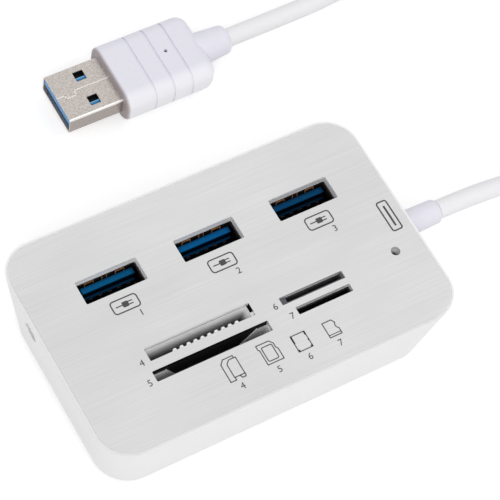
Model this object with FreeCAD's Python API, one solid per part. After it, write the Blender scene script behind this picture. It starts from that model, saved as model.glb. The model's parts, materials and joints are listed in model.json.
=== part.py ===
import FreeCAD, Part
import math
import os

# Desk hub with three upright ports, four upright card slots, a power jack and a corded plug.
# Millimetres. The origin is under the middle of the hub on the table, +X along its long side, +Z up.

# Top plate
plate_length = 76.0
plate_width = 47.6
plate_corner = 6.4
plate_thickness = 0.8
plate_edge_chamfer = 0.15
plate_clearance = 0.02

# Housing
body_height = 19.1
rim = 0.43
wall_lean = 2.5
bottom_corner = 7.3
bottom_edge_radius = 1.2
wall = 1.8
deck_thickness = 1.8
pocket_clearance = 0.15
boss_diameter = 4.8
boss_from_wall = 4.4
boss_bore_clearance = 0.1

# Base cover, feet and screws
base_thickness = 1.6
base_clearance = 0.1
post_height = 4.3
post_diameter = 5.4
foot_diameter = 6.4
foot_drop = 0.8
foot_recess = 0.6
foot_clearance = 0.1
foot_edge = 0.3
screw_core = 1.8
screw_grip = 6.0
screw_head_diameter = 3.6
screw_head_height = 1.2
screw_slot_width = 0.6
screw_slot_depth = 0.6
screw_clearance = 0.2

# Circuit board
board_thickness = 1.2
board_from_wall = 0.6
board_notch_clearance = 0.4

# Upright ports
port_cut_length = 13.0
port_cut_width = 5.16
port_cut_corner = 0.3
port_from_side = 10.4
port_middle_x = 0.42
port_from_back = 13.86
port_mouth_depth = 1.7
port_inner_length = 12.5
port_inner_width = 5.12
port_inner_corner = 0.4
shell_wall = 0.3
shell_top_gap = 0.05
spring_width = 2.0
spring_slit = 0.25
spring_offset = 3.3
spring_bulge = 0.25
spring_length = 5.0
spring_from_mouth = 0.45
middle_spring_width = 1.2
leg_width = 1.2
leg_offset = 1.4
leg_clearance = 0.1
tongue_length = 11.1
tongue_thickness = 1.84
tongue_back_gap = 0.62
tongue_below_mouth = 0.4
tongue_tip_thickness = 1.25
tongue_tip_height = 1.6
tongue_block_height = 2.6
tongue_clearance = 0.05
contact_thickness = 0.2
contact_width = 0.9
contact_groove_depth = 0.15
contact_groove_clearance = 0.05
contact_offsets = (-3.5, -1.0, 1.0, 3.5)
fast_contact_offsets = (-4.0, -2.0, 0.0, 2.0, 4.0)
fast_contact_width = 0.8
fast_contact_length = 1.6
fast_contact_gap = 0.2

# Card slots: middle along the plate, distance of the middle from the front edge, length and width
card_mouth_depth = 1.1
slot_corner = 0.2
socket_floor = 1.2
socket_top_gap = 0.05
comb_middle_x = -10.77
comb_from_front = 16.93
comb_slot_length = 22.5
comb_slot_width = 2.83
comb_socket_wall = 0.9
comb_rib_count = 10
comb_rib_pitch = 1.48
comb_rib_shift = 0.67
comb_rib_width = 0.85
comb_rib_depth = 0.55
comb_rib_taper = 0.16
comb_top_drop = 0.25
comb_top_gap = 0.05
comb_contact_clearance = 0.05
comb_rest_length = 0.83
comb_rest_from_back = 1.9
comb_pocket_lip = 0.15
comb_pocket_depth = 3.2
wide_middle_x = -10.52
wide_from_front = 12.35
wide_slot_length = 24.75
wide_slot_width = 2.3
wide_socket_wall = 0.9
wide_cover_thickness = 0.15
wide_cover_drop = 0.05
wide_cover_left_wing = 2.9
wide_cover_left_slope = 2.8
wide_cover_right_wing = 1.8
wide_cover_right_slope = 3.6
wide_cover_notch_depth = 4.6
wide_contact_count = 9
wide_contact_pitch = 2.5
slim_middle_x = 13.15
slim_from_front = 15.83
slim_cut_length = 14.0
slim_cut_width = 1.7
slim_slot_length = 12.2
slim_slot_width = 1.3
slim_slot_shift = 0.4
slim_head_drop = 0.45
slim_head_clearance = 0.05
slim_contact_count = 11
slim_contact_pitch = 1.05
micro_middle_x = 14.08
micro_from_front = 12.73
micro_cut_length = 12.0
micro_cut_width = 1.7
micro_slot_length = 11.3
micro_slot_width = 1.2
micro_contact_count = 8
micro_contact_pitch = 1.1
small_socket_wall = 0.7
card_contact_width = 0.6
card_contact_thickness = 0.15
card_contact_bulge = 0.3
card_contact_length = 5.0

# Indicator lamp
led_from_right = 6.0
led_from_front = 15.8
led_hole_diameter = 1.9
led_hole_depth = 1.5
led_clearance = 0.1
led_body_height = 3.0
led_flange_diameter = 2.6
led_flange_height = 0.6
led_spacer_diameter = 3.0
led_lead_size = 0.45
led_lead_pitch = 1.27
led_lead_clearance = 0.05

# Power jack
jack_from_back = 14.5
jack_above_board = 6.3
jack_hole_diameter = 4.0
jack_bore_diameter = 3.5
jack_bore_depth = 5.2
jack_length = 6.4
jack_width = 6.2
jack_over_axis = 2.7
jack_from_wall = 0.2
jack_pin_diameter = 1.1
jack_pin_stop = 0.6
jack_spring_width = 1.6
jack_spring_thickness = 0.25
jack_spring_length = 3.6

# Parts on the board
chip_gap_x = 21.0
hub_chip_side = 8.0
card_chip_side = 7.0
chip_height = 0.9
chip_dot_diameter = 0.8
chip_dot_depth = 0.1
crystal_length = 3.2
crystal_width = 2.5
crystal_height = 0.7
crystal_lid_edge = 0.3
crystal_y = 9.0
passive_length = 1.6
passive_width = 0.8
passive_height = 0.7
passive_count = 5
passive_pitch = 2.0
passive_from_chip = 1.6
can_from_port = 1.2
can_diameter = 4.0
can_height = 5.4
can_base = 4.3
can_base_height = 0.9
can_corner = 0.8
can_edge = 0.3

# Strain relief
relief_y = 0.45
relief_above_board = 2.3
relief_root_diameter = 5.7
relief_end_diameter = 5.0
relief_reach = 11.1
relief_end_radius = 0.9
relief_neck_diameter = 4.8
relief_neck_clearance = 0.1
relief_flange_diameter = 6.6
relief_flange_depth = 1.5
lead_diameter = 0.8
lead_pitch = 1.05
lead_pin = 0.6
lead_row_lift = 0.55
upper_lead_count = 5
upper_lead_run = 4.2
lower_lead_count = 4
lower_lead_run = 1.8

# Cord
cord_diameter = 4.0
cord_bend_share = 0.45
cord_first_run = 9.8
cord_last_run = 13.0
cord_middle_points = (
    (76.0, 0.0, 6.4),
    (97.0, -1.0, 2.6),
    (120.0, 2.0, 2.0),
    (139.0, 14.0, 2.0),
    (148.0, 33.0, 2.0),
    (140.0, 53.0, 2.0),
    (121.0, 64.0, 2.0),
    (98.0, 66.2, 2.0),
    (78.0, 62.9, 2.2),
    (61.0, 59.3, 3.2),
)

# Plug, which points along -X and lies on the table
plug_y = 58.4
plug_tip_x = -6.6
plug_shell_width = 12.0
plug_shell_height = 4.5
plug_shell_corner = 0.5
plug_shell_wall = 0.3
plug_shell_length = 12.2
plug_shell_hidden = 4.0
plug_window_side = 2.3
plug_window_from_tip = 6.8
plug_window_offset = 3.2
plug_seam_gap = 0.12
plug_seam_straight = 1.9
plug_seam_tail = 2.1
plug_seam_flare = 0.2
plug_seam_dip = 0.8
plug_seam_rise = 0.4
plug_insulator_thickness = 1.9
plug_insulator_tip = 1.7
plug_insulator_recess = 0.1
plug_insulator_tip_length = 0.8
plug_insulator_clearance = 0.05
plug_pocket_depth = 1.2
plug_pocket_shelf = 0.3
plug_shelf_from_edge = 0.3
plug_contact_width = 1.0
plug_contact_length = 7.0
plug_contact_thickness = 0.15
plug_contact_from_tip = 1.2
grip_width = 16.8
grip_height = 8.2
grip_section_radius = 3.3
grip_length = 21.2
grip_front_round = 0.6
grip_rear_round = 2.6
grip_groove_width = 0.45
grip_groove_depth = 0.28
grip_groove_places = (6.6, 10.9, 15.2)
grip_mark_from_front = 13.0
grip_mark_y = 0.2
grip_mark_diameter = 0.8
grip_mark_depth = 0.4
collar_length = 6.6
collar_root_diameter = 7.6
collar_end_diameter = 6.2
collar_end_radius = 1.0
end_margin = 1.0

# Levels that follow from the sizes above
housing_bottom = foot_drop
plate_top = housing_bottom + body_height
plate_bottom = plate_top - plate_thickness
deck_bottom = plate_bottom - deck_thickness
port_mouth = plate_top - port_mouth_depth
card_mouth = plate_top - card_mouth_depth
base_top = housing_bottom + base_thickness
board_bottom = base_top + post_height
board_top = board_bottom + board_thickness
shell_top = port_mouth - shell_top_gap
socket_top = card_mouth - socket_top_gap

# Places that follow from the sizes above
port_y = plate_width / 2 - port_from_back
port_pitch = (plate_length - port_cut_length) / 2 - port_from_side
port_places = [port_middle_x + port_pitch * step for step in (-1, 0, 1)]
comb_y = comb_from_front - plate_width / 2
wide_y = wide_from_front - plate_width / 2
slim_y = slim_from_front - plate_width / 2
slim_slot_x = slim_middle_x + slim_slot_shift
slim_slot_y = slim_y + (slim_cut_width - slim_slot_width) / 2
micro_y = micro_from_front - plate_width / 2
led_x = plate_length / 2 - led_from_right
led_y = led_from_front - plate_width / 2
jack_y = plate_width / 2 - jack_from_back
jack_z = board_top + jack_above_board
relief_z = board_top + relief_above_board
relief_end_x = plate_length / 2 + relief_reach
plug_z = grip_height / 2
grip_front_x = plug_tip_x + plug_shell_length
grip_rear_x = grip_front_x + grip_length
collar_end_x = grip_rear_x + collar_length


def point(x, y, z):
    return FreeCAD.Vector(x, y, z)


def block(x0, x1, y0, y1, z0, z1):
    """Box between two corners."""
    return Part.makeBox(x1 - x0, y1 - y0, z1 - z0, point(x0, y0, z0))


def block_about(x, y, length, width, z0, z1):
    """Box about an upright line."""
    return block(x - length / 2, x + length / 2, y - width / 2, y + width / 2, z0, z1)


def upright_rod(x, y, z0, z1, diameter):
    return Part.makeCylinder(diameter / 2, z1 - z0, point(x, y, z0))


def lying_rod(x0, x1, y, z, diameter):
    return Part.makeCylinder(diameter / 2, x1 - x0, point(x0, y, z), point(1, 0, 0))


def rounded_wire(length, width, radius, place):
    """Rounded rectangle in the XY directions, around the origin, moved by a placement."""
    r = min(radius, 0.49 * length, 0.49 * width)
    a = length / 2
    b = width / 2
    k = r * (1 - math.sqrt(0.5))
    edges = []
    for sx, sy in ((1, -1), (1, 1), (-1, 1), (-1, -1)):
        upright = point(sx * a, sy * (b - r), 0)
        middle = point(sx * (a - k), sy * (b - k), 0)
        level = point(sx * (a - r), sy * b, 0)
        ends = (upright, level) if sx * sy > 0 else (level, upright)
        edges.append(Part.Arc(ends[0], middle, ends[1]).toShape())
    sides = []
    for arc, following in zip(edges, edges[1:] + edges[:1]):
        start = arc.Curve.value(arc.LastParameter)
        end = following.Curve.value(following.FirstParameter)
        sides.append(arc)
        sides.append(Part.LineSegment(start, end).toShape())
    wire = Part.Wire(sides)
    wire.Placement = place
    return wire


def level_place(x, y, z):
    return FreeCAD.Placement(point(x, y, z), FreeCAD.Rotation())


def rounded_prism(length, width, radius, x, y, z0, z1):
    """Upright prism with a rounded rectangle as its section."""
    wire = rounded_wire(length, width, radius, level_place(x, y, z0))
    return Part.Face(wire).extrude(point(0, 0, z1 - z0))


def section_x(width, height, radius, x):
    """Rounded rectangle across the plug at one place along X."""
    turn = FreeCAD.Rotation(point(0, 1, 0), point(0, 0, 1), point(1, 0, 0), "ZXY")
    return rounded_wire(width, height, radius, FreeCAD.Placement(point(x, plug_y, plug_z), turn))


def bar_x(width, height, radius, x0, x1):
    return Part.Face(section_x(width, height, radius, x0)).extrude(point(x1 - x0, 0, 0))


def profile_yz(corners, x, width):
    """Polygon given as (y, z) corners, as thick as width about x."""
    outline = [point(x - width / 2, y, z) for y, z in corners]
    face = Part.Face(Part.makePolygon(outline + outline[:1]))
    return face.extrude(point(width, 0, 0))


def profile_xz(corners, y0, y1):
    """Polygon given as (x, z) corners, from y0 to y1."""
    outline = [point(x, y0, z) for x, z in corners]
    face = Part.Face(Part.makePolygon(outline + outline[:1]))
    return face.extrude(point(0, y1 - y0, 0))


def turned_x(corners, y, z):
    """Solid turned about a line along X, from (x, radius) corners."""
    outline = [point(x, y, z + radius) for x, radius in corners]
    face = Part.Face(Part.makePolygon(outline + outline[:1]))
    return face.revolve(point(0, y, z), point(1, 0, 0), 360)


def edges_at(shape, axis, value):
    """Edges that lie wholly at one value of an axis."""
    found = []
    for edge in shape.Edges:
        low = getattr(edge.BoundBox, axis + "Min")
        high = getattr(edge.BoundBox, axis + "Max")
        if abs(low - value) < 1e-4 and abs(high - value) < 1e-4:
            found.append(edge)
    return found


def save(name, shape):
    """Write one piece, or a group of like pieces, under its name."""
    whole = Part.makeCompound(shape) if isinstance(shape, list) else shape.removeSplitter()
    whole.exportStep("parts/" + name + ".step")


def row(count, pitch):
    """Evenly spaced offsets about zero."""
    return [pitch * (i - (count - 1) / 2) for i in range(count)]


def body_outline(z, inset):
    """Outline of the leaning body at a height, moved in by a wall."""
    share = (z - housing_bottom) / body_height
    grow = plate_clearance + rim - wall_lean * (1 - share) - inset
    top_corner = plate_corner + plate_clearance + rim
    corner = bottom_corner + (top_corner - bottom_corner) * share - inset
    size = (plate_length + 2 * grow, plate_width + 2 * grow)
    return size[0], size[1], max(corner, 0.5)


def body_loft(z0, z1, inset):
    """Straight leaning skin between the outlines at two heights."""
    wires = []
    for z in (z0, z1):
        length, width, corner = body_outline(z, inset)
        wires.append(rounded_wire(length, width, corner, level_place(0, 0, z)))
    return Part.makeLoft(wires, True, True)


def outer_body():
    body = body_loft(housing_bottom, plate_top, 0)
    radius = min(bottom_edge_radius, 0.8 * wall)
    return body.makeFillet(radius, edges_at(body, "Z", housing_bottom))


def inner_space():
    return body_loft(housing_bottom - end_margin, deck_bottom, wall)


def boss_places():
    length, width, corner = body_outline(housing_bottom, wall)
    x = length / 2 - boss_from_wall
    y = width / 2 - boss_from_wall
    return [(x, y), (-x, y), (-x, -y), (x, -y)]


def face_openings(z0, z1):
    """Cut-outs that run through the plate and the lip of the deck."""
    cuts = []
    for x in port_places:
        cuts.append(rounded_prism(port_cut_length, port_cut_width, port_cut_corner, x, port_y, z0, z1))
    slots = (
        (comb_slot_length, comb_slot_width, comb_middle_x, comb_y),
        (wide_slot_length, wide_slot_width, wide_middle_x, wide_y),
        (slim_cut_length, slim_cut_width, slim_middle_x, slim_y),
        (micro_cut_length, micro_cut_width, micro_middle_x, micro_y),
    )
    for length, width, x, y in slots:
        cuts.append(rounded_prism(length, width, slot_corner, x, y, z0, z1))
    cuts.append(upright_rod(led_x, led_y, z0, z1, led_hole_diameter))
    return cuts


def socket_sizes():
    """Outside length, width and middle of each card socket."""
    slots = {
        "comb": (comb_slot_length, comb_slot_width, comb_socket_wall, comb_middle_x, comb_y),
        "wide": (wide_slot_length, wide_slot_width, wide_socket_wall, wide_middle_x, wide_y),
        "slim": (slim_cut_length, slim_cut_width, small_socket_wall, slim_middle_x, slim_y),
        "micro": (micro_cut_length, micro_cut_width, small_socket_wall, micro_middle_x, micro_y),
    }
    sizes = {}
    for name, (length, width, thick, x, y) in slots.items():
        sizes[name] = (length + 2 * thick, width + 2 * thick, x, y)
    return sizes


def deck_pockets():
    """Pockets under the deck that take the heads of the sockets and of the ports."""
    grow = 2 * pocket_clearance
    low = deck_bottom - end_margin
    shell_length = port_inner_length + 2 * shell_wall + grow
    shell_width = port_inner_width + 2 * shell_wall + grow
    corner = port_inner_corner + shell_wall + pocket_clearance
    pockets = []
    for x in port_places:
        pockets.append(rounded_prism(shell_length, shell_width, corner, x, port_y, low, port_mouth))
    for length, width, x, y in socket_sizes().values():
        pockets.append(block_about(x, y, length + grow, width + grow, low, card_mouth))
    return pockets


def make_top_plate():
    plate = rounded_prism(plate_length, plate_width, plate_corner, 0, 0, plate_bottom, plate_top)
    plate = plate.makeChamfer(plate_edge_chamfer, edges_at(plate, "Z", plate_top))
    return plate.cut(face_openings(plate_bottom - end_margin, plate_top + end_margin))


def make_housing():
    seat = 2 * plate_clearance
    corner = plate_corner + plate_clearance
    recess = rounded_prism(
        plate_length + seat, plate_width + seat, corner, 0, 0, plate_bottom, plate_top + end_margin
    )
    shell = outer_body().cut([inner_space(), recess])
    bosses = []
    bores = []
    for x, y in boss_places():
        bosses.append(upright_rod(x, y, board_top, deck_bottom, boss_diameter))
        bore_top = board_top + screw_grip + end_margin
        bores.append(upright_rod(x, y, board_top - end_margin, bore_top, screw_core + boss_bore_clearance))
    shell = shell.fuse(bosses)
    reach = plate_length / 2 + rim + end_margin
    jack_hole = lying_rod(-reach, jack_front_x(), jack_y, jack_z, jack_hole_diameter)
    cord_hole = lying_rod(flange_face_x(), reach, relief_y, relief_z, relief_neck_diameter)
    cuts = face_openings(deck_bottom - end_margin, plate_top)
    return shell.cut(cuts + deck_pockets() + bores + [jack_hole, cord_hole])


def make_base_cover():
    length, width, corner = body_outline(housing_bottom, wall + base_clearance)
    cover = rounded_prism(length, width, corner, 0, 0, housing_bottom, base_top)
    posts = [upright_rod(x, y, base_top, board_bottom, post_diameter) for x, y in boss_places()]
    cover = cover.fuse(posts)
    recess_top = housing_bottom + foot_recess
    head_top = recess_top + screw_head_height
    cuts = []
    for x, y in boss_places():
        below = housing_bottom - end_margin
        cuts.append(upright_rod(x, y, below, recess_top, foot_diameter + 2 * foot_clearance))
        cuts.append(upright_rod(x, y, below, head_top, screw_head_diameter + screw_clearance))
        cuts.append(upright_rod(x, y, below, board_bottom + end_margin, screw_core + screw_clearance))
    return cover.cut(cuts)


def make_screw(x, y):
    head_bottom = housing_bottom + foot_recess
    head_top = head_bottom + screw_head_height
    head = upright_rod(x, y, head_bottom, head_top, screw_head_diameter)
    shank = upright_rod(x, y, head_top, board_top + screw_grip, screw_core)
    long_half = screw_head_diameter / 3
    thin_half = screw_slot_width / 2
    slots = []
    for a, b in ((long_half, thin_half), (thin_half, long_half)):
        slots.append(block(x - a, x + a, y - b, y + b, head_bottom, head_bottom + screw_slot_depth))
    return head.fuse(shank).cut(slots)


def make_foot(x, y):
    foot = upright_rod(x, y, 0, housing_bottom + foot_recess, foot_diameter)
    return foot.makeChamfer(foot_edge, edges_at(foot, "Z", 0))


def leg_blocks(x, clearance):
    """Four solder legs of one port shell, or the board slots for them."""
    half = port_inner_length / 2
    legs = []
    for side in (-1, 1):
        inner = x + side * half
        outer = x + side * (half + shell_wall)
        for y in (port_y - leg_offset, port_y + leg_offset):
            low = min(inner, outer) - clearance
            high = max(inner, outer) + clearance
            reach = leg_width / 2 + clearance
            legs.append(block(low, high, y - reach, y + reach, board_bottom - clearance, board_top))
    return legs


def make_main_board():
    length, width, corner = body_outline(board_bottom, wall + board_from_wall)
    board = rounded_prism(length, width, corner, 0, 0, board_bottom, board_top)
    low = board_bottom - end_margin
    high = board_top + end_margin
    cuts = []
    for x, y in boss_places():
        cuts.append(upright_rod(x, y, low, high, screw_core + screw_clearance))
    for x in port_places:
        cuts.extend(leg_blocks(x, leg_clearance))
    half = relief_flange_diameter / 2 + board_notch_clearance
    notch_x = flange_face_x() - board_notch_clearance
    cuts.append(block(notch_x, length, relief_y - half, relief_y + half, low, high))
    return board.cut(cuts)


def make_port_shell(x):
    """Folded sheet shell with spring leaves in its wide walls and four legs."""
    length = port_inner_length + 2 * shell_wall
    width = port_inner_width + 2 * shell_wall
    corner = port_inner_corner + shell_wall
    low = board_top - end_margin
    high = shell_top + end_margin
    outer = rounded_prism(length, width, corner, x, port_y, board_top, shell_top)
    inner = rounded_prism(port_inner_length, port_inner_width, port_inner_corner, x, port_y, low, high)
    shell = outer.cut(inner)
    tip = shell_top - spring_from_mouth
    root = tip - spring_length
    crest = tip - spring_length / 4
    windows = []
    leaves = []
    for side in (-1, 1):
        face = port_y + side * port_inner_width / 2
        back = face + side * shell_wall
        peak = face - side * spring_bulge
        corners = (
            (face, root),
            (peak, crest),
            (face, tip),
            (back, tip),
            (peak + side * shell_wall, crest),
            (back, root),
        )
        springs = [(-spring_offset, spring_width), (spring_offset, spring_width)]
        if side > 0:
            springs.append((0, middle_spring_width))
        for offset, leaf_width in springs:
            middle = x + offset
            opening = leaf_width + 2 * spring_slit
            depth = shell_wall + 2 * spring_bulge
            windows.append(block_about(middle, (face + back) / 2, opening, depth, root, tip + spring_slit))
            leaves.append(profile_yz(corners, middle, leaf_width))
    return shell.cut(windows).fuse(leaves + leg_blocks(x, 0))


def tongue_front_y():
    return port_y + port_inner_width / 2 - tongue_back_gap - tongue_thickness


def make_port_tongue(x):
    """Tongue on its base block, with a thinner tip above a ledge and a groove for each long contact."""
    block_top = board_top + tongue_block_height
    length = port_inner_length - 2 * tongue_clearance
    width = port_inner_width - 2 * tongue_clearance
    base = rounded_prism(length, width, port_inner_corner, x, port_y, board_top, block_top)
    front = tongue_front_y()
    back = front + tongue_thickness
    tip = shell_top - tongue_below_mouth
    tip_front = back - tongue_tip_thickness
    ledge = tip - tongue_tip_height
    corners = (
        (front, block_top),
        (back, block_top),
        (back, tip),
        (tip_front, tip),
        (tip_front, ledge),
        (front, ledge),
    )
    tongue = profile_yz(corners, x, tongue_length)
    groove_width = contact_width + 2 * contact_groove_clearance
    grooves = []
    for offset in contact_offsets:
        depth = 2 * contact_groove_depth
        grooves.append(block_about(x + offset, front, groove_width, depth, block_top, contact_top_z()))
    return base.fuse(tongue.cut(grooves))


def contact_top_z():
    """Upper end of the long contacts, below the short ones under the ledge."""
    ledge = shell_top - tongue_below_mouth - tongue_tip_height
    return ledge - fast_contact_length - 2 * fast_contact_gap


def make_port_contacts(x):
    """Four long contacts in their grooves and five short ones under the ledge."""
    front = tongue_front_y()
    bottom = board_top + tongue_block_height
    top = contact_top_z()
    short_y = front - contact_thickness / 2
    long_y = short_y + contact_groove_depth
    strips = []
    for offset in contact_offsets:
        strips.append(block_about(x + offset, long_y, contact_width, contact_thickness, bottom, top))
    low = top + fast_contact_gap
    high = low + fast_contact_length
    for offset in fast_contact_offsets:
        strips.append(block_about(x + offset, short_y, fast_contact_width, contact_thickness, low, high))
    return strips


def socket_block(name, slot_length, slot_width):
    """Upright socket body with its slot, open at the top."""
    length, width, x, y = socket_sizes()[name]
    body = block_about(x, y, length, width, board_top, socket_top)
    floor = board_top + socket_floor
    return body.cut(block_about(x, y, slot_length, slot_width, floor, socket_top + end_margin))


def make_rib(x, y0, y1, z0, z1):
    """Upright rib on the front wall of the comb slot, narrower at its crown."""
    root = comb_rib_width / 2
    crown = root - comb_rib_taper
    outline = ((x - root, y0), (x + root, y0), (x + crown, y1), (x - crown, y1))
    corners = [point(cx, cy, z0) for cx, cy in outline]
    face = Part.Face(Part.makePolygon(corners + corners[:1]))
    return face.extrude(point(0, 0, z1 - z0))


def make_comb_socket():
    """White socket with a comb of ribs and a pocketed end rest, which reach up into the plate."""
    body = socket_block("comb", comb_slot_length, comb_slot_width)
    floor = board_top + socket_floor
    head_top = plate_top - comb_top_drop
    front = comb_y - comb_slot_width / 2
    back = comb_y + comb_slot_width / 2
    right = comb_middle_x + comb_slot_length / 2
    crown_y = front + comb_rib_depth
    pieces = []
    for offset in row(comb_rib_count, comb_rib_pitch):
        x = comb_middle_x + comb_rib_shift + offset
        pieces.append(make_rib(x, front, crown_y, floor, socket_top))
        pieces.append(make_rib(x, front + comb_top_gap, crown_y, socket_top, head_top))
    rest_x = right - comb_rest_length
    rest_y = back - comb_rest_from_back
    pieces.append(block(rest_x, right, front, back, floor, socket_top))
    head_x = right - comb_top_gap
    head_front = front + comb_top_gap
    head_back = back - comb_top_gap
    pieces.append(block(rest_x, head_x - slot_corner, head_front, head_back, socket_top, head_top))
    pieces.append(block(rest_x, head_x, head_front + slot_corner, rest_y, socket_top, head_top))
    pocket_x = rest_x + comb_pocket_lip
    pocket_low = head_top - comb_pocket_depth
    pocket = block(pocket_x, right, rest_y, back, pocket_low, head_top + end_margin)
    return body.fuse(pieces).cut(pocket)


def make_wide_cover():
    """Folded steel cover with a mouth cut back between slanted wings, and a flange at each end."""
    left = wide_middle_x - wide_slot_length / 2
    right = wide_middle_x + wide_slot_length / 2
    back = wide_y + wide_slot_width / 2
    low = board_top + socket_floor
    high = socket_top - wide_cover_drop
    notch = high - wide_cover_notch_depth
    left_edge = left + wide_cover_left_wing
    right_edge = right - wide_cover_right_wing
    corners = (
        (left, low),
        (right, low),
        (right, high),
        (right_edge, high),
        (right_edge - wide_cover_right_slope, notch),
        (left_edge + wide_cover_left_slope, notch),
        (left_edge, high),
        (left, high),
    )
    sheet = profile_xz(corners, back - wide_cover_thickness, back)
    front = wide_y - wide_slot_width / 2
    flanges = [
        block(left, left + wide_cover_thickness, front, back, low, high),
        block(right - wide_cover_thickness, right, front, back, low, high),
    ]
    return sheet.fuse(flanges)


def make_slim_socket():
    """Grey socket whose head fills the plate's opening beside a slot along its back edge."""
    length, width, x, y = socket_sizes()["slim"]
    body = block_about(x, y, length, width, board_top, socket_top)
    head_length = slim_cut_length - 2 * slim_head_clearance
    head_width = slim_cut_width - 2 * slim_head_clearance
    head_top = plate_top - slim_head_drop
    head = rounded_prism(head_length, head_width, slot_corner, x, y, socket_top, head_top)
    floor = board_top + socket_floor
    slot = block_about(slim_slot_x, slim_slot_y, slim_slot_length, slim_slot_width, floor, plate_top)
    return body.fuse(head).cut(slot)


def card_contacts(places, wall_y, width):
    """Bent leaves that stand on the slot floor against its front wall and bow into the slot."""
    low = board_top + socket_floor
    high = low + card_contact_length
    crest = high - card_contact_length / 3
    thick = card_contact_thickness
    bow = card_contact_bulge
    corners = (
        (wall_y, low),
        (wall_y + bow, crest),
        (wall_y, high),
        (wall_y + thick, high),
        (wall_y + bow + thick, crest),
        (wall_y + thick, low),
    )
    return [profile_yz(corners, x, width) for x in places]


def make_comb_contacts():
    front = comb_y - comb_slot_width / 2
    first = comb_middle_x + comb_rib_shift + comb_rib_pitch / 2
    places = [first + offset for offset in row(comb_rib_count, comb_rib_pitch)]
    width = comb_rib_pitch - comb_rib_width - 2 * comb_contact_clearance
    return card_contacts(places, front, width)


def make_wide_contacts():
    places = [wide_middle_x + offset for offset in row(wide_contact_count, wide_contact_pitch)]
    return card_contacts(places, wide_y - wide_slot_width / 2, card_contact_width)


def make_slim_contacts():
    places = [slim_slot_x + offset for offset in row(slim_contact_count, slim_contact_pitch)]
    return card_contacts(places, slim_slot_y - slim_slot_width / 2, card_contact_width)


def make_micro_contacts():
    places = [micro_middle_x + offset for offset in row(micro_contact_count, micro_contact_pitch)]
    return card_contacts(places, micro_y - micro_slot_width / 2, card_contact_width)


def led_top_z():
    return plate_top - led_hole_depth


def led_flange_bottom():
    return led_top_z() - led_body_height


def make_power_led():
    """Round lens with a domed top on a flange."""
    lens = led_hole_diameter - 2 * led_clearance
    bottom = led_flange_bottom()
    dome_z = led_top_z() - lens / 2
    flange = upright_rod(led_x, led_y, bottom, bottom + led_flange_height, led_flange_diameter)
    stem = upright_rod(led_x, led_y, bottom, dome_z, lens)
    dome = Part.makeSphere(lens / 2, point(led_x, led_y, dome_z), point(0, 0, 1), 0, 90, 360)
    return flange.fuse([stem, dome])


def led_lead_blocks(clearance):
    half = led_lead_size / 2 + clearance
    leads = []
    for side in (-0.5, 0.5):
        x = led_x + side * led_lead_pitch
        leads.append(block(x - half, x + half, led_y - half, led_y + half, board_top, led_flange_bottom()))
    return leads


def make_led_spacer():
    spacer = upright_rod(led_x, led_y, board_top, led_flange_bottom(), led_spacer_diameter)
    return spacer.cut(led_lead_blocks(led_lead_clearance))


def jack_front_x():
    """Front of the power jack, just inside the left wall at the jack's foot."""
    length, width, corner = body_outline(board_top, wall)
    return jack_from_wall - length / 2


def make_jack_body():
    x0 = jack_front_x()
    half = jack_width / 2
    body = block(x0, x0 + jack_length, jack_y - half, jack_y + half, board_top, jack_z + jack_over_axis)
    bore = lying_rod(x0, x0 + jack_bore_depth, jack_y, jack_z, jack_bore_diameter)
    end = x0 + jack_bore_depth
    half = jack_spring_width / 2
    slot_low = jack_z - jack_bore_diameter / 2 - jack_spring_thickness
    slot = block(end - jack_spring_length, end, jack_y - half, jack_y + half, slot_low, jack_z)
    return body.cut([bore, slot])


def make_jack_pin():
    x0 = jack_front_x()
    pin = lying_rod(x0 + jack_pin_stop, x0 + jack_bore_depth, jack_y, jack_z, jack_pin_diameter)
    return pin.makeChamfer(jack_pin_diameter / 5, edges_at(pin, "X", x0 + jack_pin_stop))


def make_jack_spring():
    """Leaf set in the floor of the bore, flush with it."""
    end = jack_front_x() + jack_bore_depth
    bore_bottom = jack_z - jack_bore_diameter / 2
    half = jack_spring_width / 2
    low = bore_bottom - jack_spring_thickness
    return block(end - jack_spring_length, end, jack_y - half, jack_y + half, low, bore_bottom)


def make_chip(x, y, side):
    """Flat package under the board with a corner dot."""
    half = side / 2
    low = board_bottom - chip_height
    body = block(x - half, x + half, y - half, y + half, low, board_bottom)
    dot_x = x - half + 2 * chip_dot_diameter
    dot_y = y + half - 2 * chip_dot_diameter
    return body.cut(upright_rod(dot_x, dot_y, low, low + chip_dot_depth, chip_dot_diameter))


def make_crystals():
    pieces = []
    for x in (-chip_gap_x / 2, chip_gap_x / 2):
        middle = board_bottom - crystal_height / 2
        base = block_about(x, crystal_y, crystal_length, crystal_width, middle, board_bottom)
        lid_length = crystal_length - 2 * crystal_lid_edge
        lid_width = crystal_width - 2 * crystal_lid_edge
        lid = block_about(x, crystal_y, lid_length, lid_width, board_bottom - crystal_height, middle)
        pieces.append(base.fuse(lid))
    return pieces


def make_passives():
    """Rows of small chip parts beside the two controllers."""
    pieces = []
    for chip_x, side in ((-chip_gap_x / 2, hub_chip_side), (chip_gap_x / 2, card_chip_side)):
        for edge in (-1, 1):
            x = chip_x + edge * (side / 2 + passive_from_chip)
            low = board_bottom - passive_height
            for y in row(passive_count, passive_pitch):
                pieces.append(block_about(x, y, passive_length, passive_width, low, board_bottom))
    return pieces


def make_can(x):
    """Can capacitor on its square base, behind the row of ports."""
    y = port_y + port_inner_width / 2 + shell_wall + can_from_port + can_base / 2
    low = board_top + can_base_height
    high = board_top + can_height
    base = rounded_prism(can_base, can_base, can_corner, x, y, board_top, low)
    can = upright_rod(x, y, low, high, can_diameter)
    return base.fuse(can.makeChamfer(can_edge, edges_at(can, "Z", high)))


def flange_face_x():
    """Inner face of the strain relief's flange."""
    length, width, corner = body_outline(relief_z, wall)
    return length / 2 - relief_flange_depth


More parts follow.
